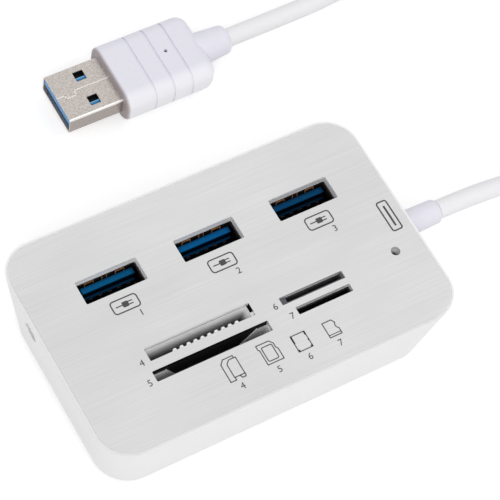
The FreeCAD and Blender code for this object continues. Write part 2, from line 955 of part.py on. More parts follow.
def make_strain_relief():
    """Sleeve held in the right wall by a neck between its barrel and an inner flange."""
    root = relief_root_diameter / 2
    end = relief_end_diameter / 2
    start = plate_length / 2 - wall_lean
    corners = ((start, 0), (start, root), (relief_end_x, end), (relief_end_x, 0))
    barrel = turned_x(corners, relief_y, relief_z)
    barrel = barrel.makeFillet(relief_end_radius, edges_at(barrel, "X", relief_end_x))
    barrel = barrel.cut(outer_body())
    face = flange_face_x()
    neck_width = relief_neck_diameter - 2 * relief_neck_clearance
    neck = lying_rod(face, start + wall_lean, relief_y, relief_z, neck_width)
    flange = lying_rod(face, face + wall + relief_flange_depth, relief_y, relief_z, relief_flange_diameter)
    return barrel.fuse([neck, flange.common(inner_space())])


def make_lead(y, z, run):
    """One wire from the flange to its upright pin on the board."""
    face = flange_face_x()
    wire = lying_rod(face - run, face, y, z, lead_diameter)
    pin = block_about(face - run, y, lead_pin, lead_pin, board_top, z + lead_diameter / 2)
    return wire.fuse(pin)


def make_cord_leads():
    leads = []
    upper = relief_z + lead_row_lift
    lower = relief_z - lead_row_lift
    for offset in row(upper_lead_count, lead_pitch):
        leads.append(make_lead(relief_y + offset, upper, upper_lead_run))
    for offset in row(lower_lead_count, lead_pitch):
        leads.append(make_lead(relief_y + offset, lower, lower_lead_run))
    return leads


def cord_route():
    """Corners of the cord's route: it leaves the sleeve and enters the plug along X."""
    start = (relief_end_x, relief_y, relief_z)
    after_start = (relief_end_x + cord_first_run, relief_y, relief_z)
    before_end = (collar_end_x + cord_last_run, plug_y, plug_z)
    end = (collar_end_x, plug_y, plug_z)
    return [point(*place) for place in (start, after_start) + cord_middle_points + (before_end, end)]


def make_cord():
    """Round cord along straight runs joined by the largest arcs that they allow."""
    route = cord_route()
    edges = []
    here = route[0]
    radii = []
    for before, corner, after in zip(route, route[1:], route[2:]):
        arriving = corner - before
        leaving = after - corner
        reach = cord_bend_share * min(arriving.Length, leaving.Length)
        half_turn = arriving.getAngle(leaving) / 2
        radius = reach / math.tan(half_turn)
        arriving.normalize()
        leaving.normalize()
        inward = (leaving - arriving).normalize()
        arc_start = corner - arriving * reach
        arc_end = corner + leaving * reach
        arc_middle = corner + inward * (radius / math.cos(half_turn) - radius)
        edges.append(Part.LineSegment(here, arc_start).toShape())
        edges.append(Part.Arc(arc_start, arc_middle, arc_end).toShape())
        here = arc_end
        radii.append(radius)
    edges.append(Part.LineSegment(here, route[-1]).toShape())
    path = Part.Wire(edges)
    ring = Part.Wire(Part.makeCircle(cord_diameter / 2, route[0], route[1] - route[0]))
    cord = path.makePipeShell([ring], True, False)
    expected = math.pi * (cord_diameter / 2) ** 2 * path.Length
    print("cord radii", [round(radius, 1) for radius in radii])
    print("cord length", round(path.Length, 1))
    print("cord volume", round(cord.Volume, 1), "expected", round(expected, 1))
    return cord


def plug_inside(clearance):
    width = plug_shell_width - 2 * (plug_shell_wall + clearance)
    height = plug_shell_height - 2 * (plug_shell_wall + clearance)
    return width, height, max(plug_shell_corner - plug_shell_wall, 0.1)


def window_blocks(z0, z1):
    blocks = []
    half = plug_window_side / 2
    x = plug_tip_x + plug_window_from_tip
    for offset in (-plug_window_offset, plug_window_offset):
        y = plug_y + offset
        blocks.append(block(x - half, x + half, y - half, y + half, z0, z1))
    return blocks


def seam_cut():
    """Narrow joint of the folded sheet, along the top, with a dovetail."""
    top = plug_z + plug_shell_height / 2
    low = top - 1.5 * plug_shell_wall
    tail_end = plug_seam_straight + plug_seam_tail
    seam = (
        (0, 0),
        (plug_seam_straight, 0),
        (plug_seam_straight - plug_seam_flare, -plug_seam_dip),
        (tail_end + plug_seam_flare, -plug_seam_dip),
        (tail_end, plug_seam_rise),
        (plug_shell_length, plug_seam_rise),
    )
    gaps = []
    for (x0, y0), (x1, y1) in zip(seam, seam[1:]):
        start = point(plug_tip_x + x0, plug_y + y0, low)
        end = point(plug_tip_x + x1, plug_y + y1, low)
        along = (end - start).normalize()
        side = point(-along.y, along.x, 0) * (plug_seam_gap / 2)
        first = start - along * (plug_seam_gap / 2)
        last = end + along * (plug_seam_gap / 2)
        corners = [first + side, last + side, last - side, first - side]
        face = Part.Face(Part.makePolygon(corners + corners[:1]))
        gaps.append(face.extrude(point(0, 0, top - low + end_margin)))
    return gaps


def make_plug_shell():
    end = grip_front_x + plug_shell_hidden
    outer = bar_x(plug_shell_width, plug_shell_height, plug_shell_corner, plug_tip_x, end)
    width, height, corner = plug_inside(0)
    inner = bar_x(width, height, corner, plug_tip_x - end_margin, end + end_margin)
    windows = window_blocks(0, 2 * plug_z)
    return outer.cut([inner] + windows + seam_cut())


def make_plug_insulator():
    """Block along the top of the plug, thinner at the tip, with a pocket under each window."""
    width, height, corner = plug_inside(plug_insulator_clearance)
    top = plug_z + height / 2
    full = top - plug_insulator_thickness
    tip = top - plug_insulator_tip
    x0 = plug_tip_x + plug_insulator_recess
    x1 = x0 + plug_insulator_tip_length
    x2 = x1 + (plug_insulator_thickness - plug_insulator_tip)
    x3 = grip_front_x + plug_shell_hidden
    corners = ((x0, top), (x0, tip), (x1, tip), (x2, full), (x3, full), (x3, top))
    body = profile_xz(corners, plug_y - width / 2, plug_y + width / 2)
    body = body.common(bar_x(width, height, corner, x0, x3))
    pockets = window_blocks(top - plug_pocket_depth, top + end_margin)
    shelf_top = top - plug_pocket_shelf
    shelves = []
    for pocket in pockets:
        box = pocket.BoundBox
        start = box.YMin + plug_shelf_from_edge
        end = box.YMin + plug_window_side / 2
        shelves.append(block(box.XMin, box.XMax, start, end, box.ZMin, shelf_top))
    return body.cut(pockets).fuse(shelves)


def make_plug_contacts():
    width, height, corner = plug_inside(plug_insulator_clearance)
    face = plug_z + height / 2 - plug_insulator_thickness
    start = plug_tip_x + plug_insulator_recess + plug_insulator_tip_length + plug_contact_from_tip
    middle = start + plug_contact_length / 2
    low = face - plug_contact_thickness
    strips = []
    for offset in contact_offsets:
        y = plug_y + offset
        strips.append(block_about(middle, y, plug_contact_length, plug_contact_width, low, face))
    return strips


def grip_bar(inset):
    """Bar of the grip's section, moved in all round by the same amount."""
    width = grip_width - 2 * inset
    height = grip_height - 2 * inset
    return bar_x(width, height, grip_section_radius - inset, grip_front_x, grip_rear_x)


def make_plug_grip():
    """Moulded grip with three shallow grooves, a gate mark and a collar for the cord."""
    grip = grip_bar(0)
    grip = grip.makeFillet(grip_front_round, edges_at(grip, "X", grip_front_x))
    grip = grip.makeFillet(grip_rear_round, edges_at(grip, "X", grip_rear_x))
    core = grip_bar(grip_groove_depth)
    rings = []
    for place in grip_groove_places:
        x = grip_front_x + place
        slab = block_about(x, plug_y, grip_groove_width, 2 * grip_width, -grip_height, 2 * grip_height)
        rings.append(slab.cut(core))
    length = plug_shell_hidden + end_margin
    front = grip_front_x - end_margin
    pocket = bar_x(plug_shell_width, plug_shell_height, plug_shell_corner, front, front + length)
    mark_x = grip_front_x + grip_mark_from_front
    mark_low = grip_height - grip_mark_depth
    mark_high = grip_height + end_margin
    mark = upright_rod(mark_x, plug_y + grip_mark_y, mark_low, mark_high, grip_mark_diameter)
    root_x = grip_rear_x - grip_rear_round
    corners = (
        (root_x, 0),
        (root_x, collar_root_diameter / 2),
        (collar_end_x, collar_end_diameter / 2),
        (collar_end_x, 0),
    )
    collar = turned_x(corners, plug_y, plug_z)
    collar = collar.makeFillet(collar_end_radius, edges_at(collar, "X", collar_end_x))
    return grip.cut(rings + [pocket, mark]).fuse(collar)


def build():
    os.makedirs("parts", exist_ok=True)
    save("top_plate", make_top_plate())
    save("housing", make_housing())
    save("base_cover", make_base_cover())
    save("base_screws", [make_screw(x, y) for x, y in boss_places()])
    save("rubber_feet", [make_foot(x, y) for x, y in boss_places()])
    save("main_board", make_main_board())
    for number, x in enumerate(port_places, 1):
        name = "port_" + str(number)
        save(name + "_shell", make_port_shell(x))
        save(name + "_tongue", make_port_tongue(x))
        save(name + "_contacts", make_port_contacts(x))
    save("comb_socket", make_comb_socket())
    save("comb_contacts", make_comb_contacts())
    save("wide_socket", socket_block("wide", wide_slot_length, wide_slot_width))
    save("wide_cover", make_wide_cover())
    save("wide_contacts", make_wide_contacts())
    save("slim_socket", make_slim_socket())
    save("slim_contacts", make_slim_contacts())
    save("micro_socket", socket_block("micro", micro_slot_length, micro_slot_width))
    save("micro_contacts", make_micro_contacts())
    save("power_led", make_power_led())
    save("led_spacer", make_led_spacer())
    save("led_leads", led_lead_blocks(0))
    save("power_jack_body", make_jack_body())
    save("power_jack_pin", make_jack_pin())
    save("power_jack_spring", make_jack_spring())
    save("hub_chip", make_chip(-chip_gap_x / 2, 0, hub_chip_side))
    save("card_chip", make_chip(chip_gap_x / 2, 0, card_chip_side))
    save("crystals", make_crystals())
    save("chip_passives", make_passives())
    save("can_capacitors", [make_can(port_middle_x + side * port_pitch / 2) for side in (-1, 1)])
    save("strain_relief", make_strain_relief())
    save("cord_leads", make_cord_leads())
    save("cord", make_cord())
    save("plug_grip", make_plug_grip())
    save("plug_shell", make_plug_shell())
    save("plug_insulator", make_plug_insulator())
    save("plug_contacts", make_plug_contacts())


build()
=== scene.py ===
import json

import bmesh
import bpy
from mathutils import Matrix, Vector


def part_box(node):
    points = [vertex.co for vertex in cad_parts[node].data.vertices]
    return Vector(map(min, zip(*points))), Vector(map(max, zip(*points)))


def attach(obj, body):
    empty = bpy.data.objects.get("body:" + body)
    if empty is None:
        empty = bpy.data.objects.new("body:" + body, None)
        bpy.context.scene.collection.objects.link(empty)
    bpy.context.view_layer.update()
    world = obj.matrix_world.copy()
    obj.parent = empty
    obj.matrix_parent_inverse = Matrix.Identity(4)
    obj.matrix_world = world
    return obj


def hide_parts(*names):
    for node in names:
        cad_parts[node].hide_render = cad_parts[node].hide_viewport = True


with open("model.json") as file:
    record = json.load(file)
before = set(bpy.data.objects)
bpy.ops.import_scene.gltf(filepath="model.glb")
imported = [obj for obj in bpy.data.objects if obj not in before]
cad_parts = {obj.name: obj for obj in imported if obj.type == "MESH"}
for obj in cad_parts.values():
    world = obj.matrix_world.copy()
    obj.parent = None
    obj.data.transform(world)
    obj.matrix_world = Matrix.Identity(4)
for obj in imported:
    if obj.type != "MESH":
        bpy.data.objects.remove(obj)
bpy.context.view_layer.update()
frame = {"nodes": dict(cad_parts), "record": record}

# Desk hub with upright ports and card slots. Blender counts in metres; MM is one millimetre.
MM = 0.001
PLATE_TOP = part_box("top_plate")[1].z
INK_HEIGHT = 0.02 * MM
scene = bpy.context.scene
nodes = frame["nodes"]


def middle(node):
    low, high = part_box(node)
    return (low + high) / 2


def tone(r, g, b):
    """Linear colour from 0 to 255 screen values."""
    linear = []
    for value in (r, g, b):
        share = value / 255
        linear.append(share / 12.92 if share <= 0.04045 else ((share + 0.055) / 1.055) ** 2.4)
    return (linear[0], linear[1], linear[2], 1.0)


def grey(level):
    return tone(level, level, level)


def shaded(colour, factor):
    return tuple(min(channel * factor, 1.0) for channel in colour[:3]) + (1.0,)


# Steps that finishes are made of

def new_finish(name):
    material = bpy.data.materials.new(name)
    material.use_nodes = True
    tree = material.node_tree
    return material, tree, tree.nodes["Principled BSDF"]


def grain(tree, scale, stretch=(1, 1, 1), detail=3.0, rough=0.55):
    """Noise in the object's own metres."""
    coordinates = tree.nodes.new("ShaderNodeTexCoord")
    mapping = tree.nodes.new("ShaderNodeMapping")
    mapping.inputs["Scale"].default_value = [scale * share for share in stretch]
    noise = tree.nodes.new("ShaderNodeTexNoise")
    noise.inputs["Scale"].default_value = 1.0
    noise.inputs["Detail"].default_value = detail
    noise.inputs["Roughness"].default_value = rough
    tree.links.new(coordinates.outputs["Object"], mapping.inputs["Vector"])
    tree.links.new(mapping.outputs["Vector"], noise.inputs["Vector"])
    return noise.outputs["Fac"]


def two_tone(tree, factor, low, high, start=0.3, end=0.7):
    ramp = tree.nodes.new("ShaderNodeValToRGB")
    ramp.color_ramp.elements[0].position = start
    ramp.color_ramp.elements[0].color = low
    ramp.color_ramp.elements[1].position = end
    ramp.color_ramp.elements[1].color = high
    tree.links.new(factor, ramp.inputs["Fac"])
    return ramp.outputs["Color"]


def ranged(tree, value, low, high, start=0.3, end=0.7):
    span = tree.nodes.new("ShaderNodeMapRange")
    span.inputs["From Min"].default_value = start
    span.inputs["From Max"].default_value = end
    span.inputs["To Min"].default_value = low
    span.inputs["To Max"].default_value = high
    tree.links.new(value, span.inputs["Value"])
    return span.outputs["Result"]


def place_on(tree, axis):
    """The object's own X, Y or Z, in metres."""
    coordinates = tree.nodes.new("ShaderNodeTexCoord")
    split = tree.nodes.new("ShaderNodeSeparateXYZ")
    tree.links.new(coordinates.outputs["Object"], split.inputs["Vector"])
    return split.outputs[axis]


def sum_of(tree, operation, first, second, third=0.0):
    """One arithmetic step on sockets or numbers."""
    step = tree.nodes.new("ShaderNodeMath")
    step.operation = operation
    for slot, value in zip(step.inputs, (first, second, third)):
        if isinstance(value, (int, float)):
            slot.default_value = value
        else:
            tree.links.new(value, slot)
    return step.outputs["Value"]


def mixed(tree, blend, factor, first, second):
    mix = tree.nodes.new("ShaderNodeMix")
    mix.data_type = "RGBA"
    mix.blend_type = blend
    for name, value in (("Factor", factor), ("A", first), ("B", second)):
        if isinstance(value, (int, float, tuple)):
            mix.inputs[name].default_value = value
        else:
            tree.links.new(value, mix.inputs[name])
    return mix.outputs["Result"]


def painted(tree, mask, base, colour):
    """The base, with another colour where the mask is one."""
    return mixed(tree, "MIX", mask, base, colour)


def band(tree, axis, place, reach):
    """One within reach of a place along an axis."""
    return sum_of(tree, "COMPARE", place_on(tree, axis), place, reach)


def past(tree, axis, place):
    """One beyond a place along an axis."""
    return sum_of(tree, "GREATER_THAN", place_on(tree, axis), place)


def short_of(tree, axis, place):
    """One before a place along an axis."""
    return sum_of(tree, "LESS_THAN", place_on(tree, axis), place)


def fade(tree, axis, low, high, start, end):
    """Change from low to high between two places along an axis."""
    return ranged(tree, place_on(tree, axis), low, high, start, end)


def from_place(tree, axis, place):
    """Way along an axis from a place."""
    return sum_of(tree, "SUBTRACT", place_on(tree, axis), place)


def apart(tree, value, place):
    """How far a value is from a place, either way."""
    return sum_of(tree, "ABSOLUTE", sum_of(tree, "SUBTRACT", value, place), 0.0)


def square_sum(tree, first, second):
    """Square of the distance that has these two legs."""
    first_square = sum_of(tree, "MULTIPLY", first, first)
    second_square = sum_of(tree, "MULTIPLY", second, second)
    return sum_of(tree, "ADD", first_square, second_square)


def all_of(tree, *masks):
    """One where every mask is one."""
    whole = masks[0]
    for mask in masks[1:]:
        whole = sum_of(tree, "MULTIPLY", whole, mask)
    return whole


def any_of(tree, *masks):
    """One where at least one mask is one."""
    whole = masks[0]
    for mask in masks[1:]:
        whole = sum_of(tree, "MAXIMUM", whole, mask)
    return whole


def add_bump(tree, shader, factor, strength, distance):
    bump = tree.nodes.new("ShaderNodeBump")
    bump.inputs["Strength"].default_value = strength
    bump.inputs["Distance"].default_value = distance
    tree.links.new(factor, bump.inputs["Height"])
    tree.links.new(bump.outputs["Normal"], shader.inputs["Normal"])


def finish(name, colour, spread, scale, rough, metallic=0.0, bump=0.15, depth=0.00002, detail=3.0,
           dim=None, tint=None, **constants):
    """Surface varied by one noise, darkened deep inside by painted shade and tinted where that is
    asked for.
    """
    material, tree, shader = new_finish(name)
    factor = grain(tree, scale, detail=detail)
    colour_out = two_tone(tree, factor, shaded(colour, 1 - spread), shaded(colour, 1 + spread))
    if dim:
        low, high, least = dim
        share = fade(tree, "Z", least, 1.0, low, high)
        colour_out = mixed(tree, "MULTIPLY", 1.0, colour_out, share)
    if tint:
        colour_out = tint(tree, colour_out)
    tree.links.new(colour_out, shader.inputs["Base Color"])
    tree.links.new(ranged(tree, factor, rough[0], rough[1]), shader.inputs["Roughness"])
    shader.inputs["Metallic"].default_value = metallic
    for socket, value in constants.items():
        shader.inputs[socket.replace("_", " ")].default_value = value
    add_bump(tree, shader, factor, bump, depth)
    return material


# Painted light and shade of the plate and the shell

def upper_wall(tree):
    """One on the upper walls of the openings, just under the plate's face."""
    centre_depth = 0.7 * MM
    reach = 0.67 * MM
    return band(tree, "Z", PLATE_TOP - centre_depth, reach)


def dark_slot_walls(tree, base):
    """Painted shade, near black, on the wall behind the wide slot and beside the comb's pocket."""
    line = 0.1 * MM
    low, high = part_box("wide_cover")
    behind = all_of(tree, upper_wall(tree), band(tree, "Y", high.y, line),
                    band(tree, "X", (low.x + high.x) / 2, (high.x - low.x) / 2))
    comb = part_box("comb_socket")[1]
    pocket_end = comb.x - 0.9 * MM
    pocket_middle = comb.y - 1.85 * MM
    pocket_reach = 0.95 * MM
    beside = all_of(tree, upper_wall(tree), band(tree, "X", pocket_end, line),
                    band(tree, "Y", pocket_middle, pocket_reach))
    return painted(tree, any_of(tree, behind, beside), base, grey(12))


def bright_port_walls(tree, base):
    """Painted light on the walls in the ports' openings, fading downward into painted shade, most
    at the right.
    """
    side_margin = 1 * MM
    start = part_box("port_1_shell")[0].x - side_margin
    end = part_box("port_3_shell")[1].x + side_margin
    opening_reach = 3.4 * MM
    fade_depth = 1.2 * MM
    row_end = 24 * MM
    row = fade(tree, "X", 0.0, 1.0, -row_end, row_end)
    deep = two_tone(tree, row, grey(252), grey(200), 0.0, 1.0)
    height = fade(tree, "Z", 0.0, 1.0, PLATE_TOP - fade_depth, PLATE_TOP)
    fading = painted(tree, height, deep, grey(255))
    here = all_of(tree, upper_wall(tree), band(tree, "Y", middle("port_1_shell").y, opening_reach),
                  band(tree, "X", (start + end) / 2, (end - start) / 2))
    return painted(tree, here, base, fading)


def bright_comb_wall(tree, base):
    """Painted light on the back wall of the comb's slot, and painted shade along the seam between
    the plate and the deck.
    """
    slot_back = -5.455 * MM
    slot_centre = -10.77 * MM
    half_length = 11.3 * MM
    line = 0.08 * MM
    wall_middle = PLATE_TOP - 1.4 * MM
    wall_reach = 1.37 * MM
    seam_height = PLATE_TOP - 0.8 * MM
    seam_line = 0.15 * MM
    wall = all_of(tree, band(tree, "Y", slot_back, line), band(tree, "X", slot_centre, half_length))
    upper = all_of(tree, band(tree, "Z", wall_middle, wall_reach), wall)
    seam = all_of(tree, band(tree, "Z", seam_height, seam_line), wall)
    return painted(tree, seam, painted(tree, upper, base, grey(255)), grey(185))


def opening_shade(tree, base):
    """The painted light and shade on the walls of the openings in the plate and the deck."""
    return bright_comb_wall(tree, bright_port_walls(tree, dark_slot_walls(tree, base)))


def far_edge(tree):
    """One toward the back and right edges of the plate."""
    back_start, back_end = 16 * MM, 22 * MM
    right_start, right_end = 31 * MM, 36 * MM
    back = fade(tree, "Y", 0.0, 1.0, back_start, back_end)
    right = fade(tree, "X", 0.0, 1.0, right_start, right_end)
    return any_of(tree, back, right)


def shell_white_shade(tree, base):
    """Painted shade that softens the white on the near rim round the plate, and the openings'
    painted light and shade on the deck.
    """
    rim_share = 0.9
    rim_start = PLATE_TOP - 0.4 * MM
    rim_end = PLATE_TOP - 0.05 * MM
    rim = fade(tree, "Z", 1.0, rim_share, rim_start, rim_end)
    near = sum_of(tree, "SUBTRACT", 1.0, far_edge(tree))
    return mixed(tree, "MULTIPLY", near, opening_shade(tree, base), rim)


def on_bevel(tree):
    """One on the bevelled outer edge of the plate, which has rounded corners."""
    corner = 6.4 * MM
    bevel = 0.17 * MM
    below_face = 0.004 * MM
    low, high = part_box("top_plate")
    reach = (high - low) / 2
    legs = []
    for axis, half in (("X", reach.x), ("Y", reach.y)):
        side = sum_of(tree, "ABSOLUTE", place_on(tree, axis), 0.0)
        legs.append(sum_of(tree, "MAXIMUM", sum_of(tree, "SUBTRACT", side, half - corner), 0.0))
    outer = sum_of(tree, "GREATER_THAN", square_sum(tree, *legs), (corner - bevel) ** 2)
    return all_of(tree, outer, short_of(tree, "Z", PLATE_TOP - below_face))


def brushed_plate():
    """Fine long streaks over slow cloudy changes of tone, and a bevel paler at the far edges by
    painted light.
    """
    material, tree, shader = new_finish("brushed_plate")
    streak = grain(tree, 1.0, (45, 9000, 45), 5.0, 0.7)
    cloud = grain(tree, 1.0, (28, 60, 28), 2.0)
    fine = two_tone(tree, streak, grey(210), grey(230), 0.25, 0.75)
    slow = two_tone(tree, cloud, grey(246), grey(255))
    colour = opening_shade(tree, mixed(tree, "MULTIPLY", 1.0, fine, slow))
    bevel = on_bevel(tree)
    # Painted light on the bevel, paler toward the far edges.
    edge = two_tone(tree, far_edge(tree), grey(228), grey(255), 0.0, 1.0)
    tree.links.new(painted(tree, bevel, colour, edge), shader.inputs["Base Color"])
    tree.links.new(ranged(tree, streak, 0.42, 0.56), shader.inputs["Roughness"])
    tree.links.new(ranged(tree, bevel, 0.35, 0.0, 0.0, 1.0), shader.inputs["Metallic"])
    shader.inputs["Specular IOR Level"].default_value = 0.3
    add_bump(tree, shader, streak, 0.25, 0.00001)
    return material


# Painted light and shade of the ports, the card sockets and the lamp

def spring_edges(port):
    """Painted warm highlights on the edges of the spring leaves in the back wall of one port."""
    centre = middle(port + "_shell")
    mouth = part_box(port + "_shell")[1].z
    leaf_offset = 3.3 * MM
    leaf_side = 0.93 * MM
    leaf_reach = 1.05 * MM
    inner_side = 0.53 * MM
    side_line = 0.13 * MM
    tip_depth = 0.55 * MM
    tip_line = 0.12 * MM
    lip = 0.43 * MM

    def tint(tree, colour):
        across = apart(tree, place_on(tree, "X"), centre.x)
        from_leaf = apart(tree, across, leaf_offset)
        sides = sum_of(tree, "COMPARE", from_leaf, leaf_side, side_line)
        inner = sum_of(tree, "COMPARE", across, inner_side, side_line)
        over_leaf = sum_of(tree, "LESS_THAN", from_leaf, leaf_reach)
        tip = all_of(tree, band(tree, "Z", mouth - tip_depth, tip_line), over_leaf)
        lines = any_of(tree, sides, inner, tip)
        here = all_of(tree, lines, short_of(tree, "Z", mouth - lip), past(tree, "Y", centre.y))
        return painted(tree, here, colour, tone(176, 122, 80))

    return tint


def tongue_shade(port):
    """Painted shade on a port's tongue: a bright tip fading to back and right, over a dim ledge and
    dark flanks.
    """
    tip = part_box(port + "_tongue")[1].z
    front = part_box(port + "_contacts")[1].y
    centre = middle(port + "_shell").x
    ledge_depth = 1.6 * MM
    ledge_line = 0.05 * MM
    ledge_width = 0.3 * MM
    ledge_share = 0.35
    flank_start, flank_end = 0.05 * MM, 0.35 * MM
    flank_share = 0.05
    rear_start, rear_end = front + 1.1 * MM, front + 1.84 * MM
    rear_share = 0.25
    side_start, side_end = centre + 4.7 * MM, centre + 5.5 * MM
    side_share = 0.4

    def tint(tree, base):
        depth = sum_of(tree, "SUBTRACT", tip, place_on(tree, "Z"))
        flank = ranged(tree, depth, 1.0, flank_share, flank_start, flank_end)
        level = sum_of(tree, "COMPARE", depth, ledge_depth, ledge_line)
        ledge = all_of(tree, level, short_of(tree, "Y", front + ledge_width), ledge_share)
        rear = fade(tree, "Y", 1.0, rear_share, rear_start, rear_end)
        side = fade(tree, "X", 1.0, side_share, side_start, side_end)
        share = all_of(tree, any_of(tree, flank, ledge), all_of(tree, rear, side))
        return mixed(tree, "MULTIPLY", 1.0, base, share)

    return tint


def comb_shade(tree, base):
    """Softer white on the crowns of the comb and its end rest, and black in the rest's pocket, all
    painted shade.
    """
    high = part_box("comb_socket")[1]
    crown_depth = 0.3 * MM
    rest_length = 1.75 * MM
    pocket_length = 1.58 * MM
    pocket_width = 2.79 * MM
    crown = past(tree, "Z", high.z - crown_depth)
    colour = mixed(tree, "MULTIPLY", crown, base, grey(240))
    rest = all_of(tree, crown, past(tree, "X", high.x - rest_length))
    colour = mixed(tree, "MULTIPLY", rest, colour, grey(226))
    pocket = all_of(tree, past(tree, "X", high.x - pocket_length),
                    past(tree, "Y", high.y - pocket_width))
    return painted(tree, pocket, colour, grey(10))


def cover_shade(tree, base):
    """Painted shade on the upper edge of the cover along the back of the wide slot."""
    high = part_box("wide_cover")[1]
    edge_height = 0.3 * MM
    sheet = 0.2 * MM
    edge = all_of(tree, past(tree, "Z", high.z - edge_height), past(tree, "Y", high.y - sheet))
    return painted(tree, edge, base, grey(16))


def lamp_shade(tree, base):
    """Dark spot behind the middle of the lamp, and painted light to the back right."""
    centre = middle("power_led")
    spot_x = centre.x + 0.1 * MM
    spot_y = centre.y + 0.25 * MM
    spot_core = 0.25 * MM
    spot_rim = 0.5 * MM
    lit_start, lit_end = -0.8 * MM, 1.0 * MM
    slant = sum_of(tree, "ADD", from_place(tree, "X", centre.x), from_place(tree, "Y", centre.y))
    lit = ranged(tree, slant, 0.0, 1.0, lit_start, lit_end)
    colour = painted(tree, lit, base, tone(196, 197, 199))
    away = square_sum(tree, from_place(tree, "X", spot_x), from_place(tree, "Y", spot_y))
    spot = ranged(tree, away, 1.0, 0.0, spot_core ** 2, spot_rim ** 2)
    return painted(tree, spot, colour, tone(20, 20, 22))


# Painted light and shade of the plug

def grip_shade(tree, base):
    """Painted shade in warm grey on the grip's front end, a dark gate mark and painted light on the
    near side.
    """
    low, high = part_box("plug_grip")
    mark_x = low.x + 13.0 * MM
    mark_y = (low.y + high.y) / 2 + 0.2 * MM
    mark_radius = 0.36 * MM
    side_start, side_end = low.y + 0.3 * MM, low.y + 3 * MM
    front_start, front_end = low.x + 0.1 * MM, low.x + 0.7 * MM
    side = fade(tree, "Y", 1.0, 0.0, side_start, side_end)
    colour = painted(tree, side, base, tone(247, 246, 250))
    front = fade(tree, "X", 1.0, 0.0, front_start, front_end)
    colour = mixed(tree, "MULTIPLY", front, colour, tone(178, 168, 164))
    away = square_sum(tree, from_place(tree, "X", mark_x), from_place(tree, "Y", mark_y))
    mark = sum_of(tree, "LESS_THAN", away, mark_radius ** 2)
    return painted(tree, mark, colour, tone(84, 82, 90))


def shell_shade(tree, base):
    """Painted highlight on the rounded edge over painted shade on the near side of the plug's
    shell.
    """
    low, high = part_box("plug_shell")
    flat_side = 0.04 * MM
    rounding = 0.4 * MM
    side = short_of(tree, "Y", low.y + flat_side)
    colour = mixed(tree, "MULTIPLY", side, base, tone(216, 213, 212))
    edge = all_of(tree, short_of(tree, "Y", low.y + rounding), past(tree, "Z", high.z - rounding))
    return painted(tree, edge, colour, tone(250, 247, 244))


def window_shade(tree, base):
    """Painted shade in the bottom and back half of the plug's window pockets and on the ledges'
    front, and a painted highlight on their back edge.
    """
    window_offset = 3.2 * MM
    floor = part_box("plug_insulator")[1].z - 0.7 * MM
    behind_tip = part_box("plug_shell")[0].x + 3 * MM
    back_half, back_reach = 0.62 * MM, 0.6 * MM
    ledge_edge, edge_line = 0.1 * MM, 0.1 * MM
    ledge_middle, ledge_reach = 0.6 * MM, 0.55 * MM
    fade_start, fade_end = 0.85 * MM, 0.4 * MM
    inside = past(tree, "X", behind_tip)
    dark = short_of(tree, "Z", floor)
    colour = base
    for side in (-1, 1):
        window = middle("plug_shell").y + side * window_offset
        dark = any_of(tree, dark, band(tree, "Y", window + back_half, back_reach))
        edge = band(tree, "Y", window - ledge_edge, edge_line)
        colour = painted(tree, all_of(tree, edge, inside), colour, tone(122, 188, 226))
        ledge = band(tree, "Y", window - ledge_middle, ledge_reach)
        fading = fade(tree, "Y", 1.0, 0.0, window - fade_start, window - fade_end)
        colour = painted(tree, all_of(tree, ledge, fading, inside), colour, tone(10, 34, 60))
    return painted(tree, all_of(tree, dark, inside), colour, tone(8, 12, 18))


# Finishes of the material slots

finishes = {
    "brushed_plate": brushed_plate(),
    "white_shell": finish("white_shell", tone(239, 238, 239), 0.012, 700, rough=(0.34, 0.42),
                          bump=0.06, tint=shell_white_shade),
    "foot_rubber": finish("foot_rubber", tone(52, 52, 54), 0.15, 1800, rough=(0.75, 0.9), bump=0.3),
    "screw_steel": finish("screw_steel", tone(170, 170, 172), 0.06, 2500, rough=(0.3, 0.45),
                          metallic=1.0),
    "board_green": finish("board_green", tone(18, 92, 52), 0.15, 600, rough=(0.3, 0.4)),
    "bright_nickel": finish("bright_nickel", tone(196, 189, 184), 0.3, 4200, rough=(0.30, 0.46),
                            metallic=0.9, bump=0.4, depth=0.00003, detail=4.0, tint=shell_shade),
    # The steel cover is painted near white, a painted reflection of light on the sheet.
    "cover_steel": finish("cover_steel", tone(252, 252, 253), 0.03, 2400, rough=(0.34, 0.48),
                          tint=cover_shade),
    "blue_plastic": finish("blue_plastic", tone(20, 112, 182), 0.08, 1500, rough=(0.34, 0.45)),
    "contact_metal": finish("contact_metal", tone(206, 150, 88), 0.08, 3000, rough=(0.25, 0.4),
                            metallic=0.9),
    # Painted shade darkens the white socket deep under the plate.
    "white_socket": finish("white_socket", grey(238), 0.02, 1400, rough=(0.4, 0.5),
                           dim=(PLATE_TOP - 8 * MM, PLATE_TOP - 3.5 * MM, 0.1)),
    "black_plastic": finish("black_plastic", tone(20, 20, 21), 0.2, 1800, rough=(0.45, 0.6)),
    # Painted shade darkens the grey plastic deep under the plate.
    "grey_plastic": finish("grey_plastic", tone(84, 84, 88), 0.1, 1800, rough=(0.42, 0.55),
                           dim=(PLATE_TOP - 5 * MM, PLATE_TOP - 2 * MM, 0.1)),
    "lamp_lens": finish("lamp_lens", tone(92, 94, 98), 0.06, 900, rough=(0.08, 0.14), bump=0.02,
                        tint=lamp_shade),
    "chip_black": finish("chip_black", tone(38, 38, 40), 0.12, 3000, rough=(0.55, 0.7)),
    "can_metal": finish("can_metal", tone(205, 205, 208), 0.05, 1800, rough=(0.28, 0.4),
                        metallic=0.9),
    "cord_white": finish("cord_white", tone(229, 228, 237), 0.012, 1100, rough=(0.42, 0.52),
                         bump=0.10),
    "lead_plastic": finish("lead_plastic", tone(170, 60, 52), 0.12, 900, rough=(0.4, 0.5)),
}
for part in frame["record"]["subparts"]:
    node = nodes[part["node"]]
    node.data.materials.clear()
    node.data.materials.append(finishes[part["material_slot"]])


# Finishes of single pieces

def dress(node, material):
    nodes[node].data.materials[0] = material
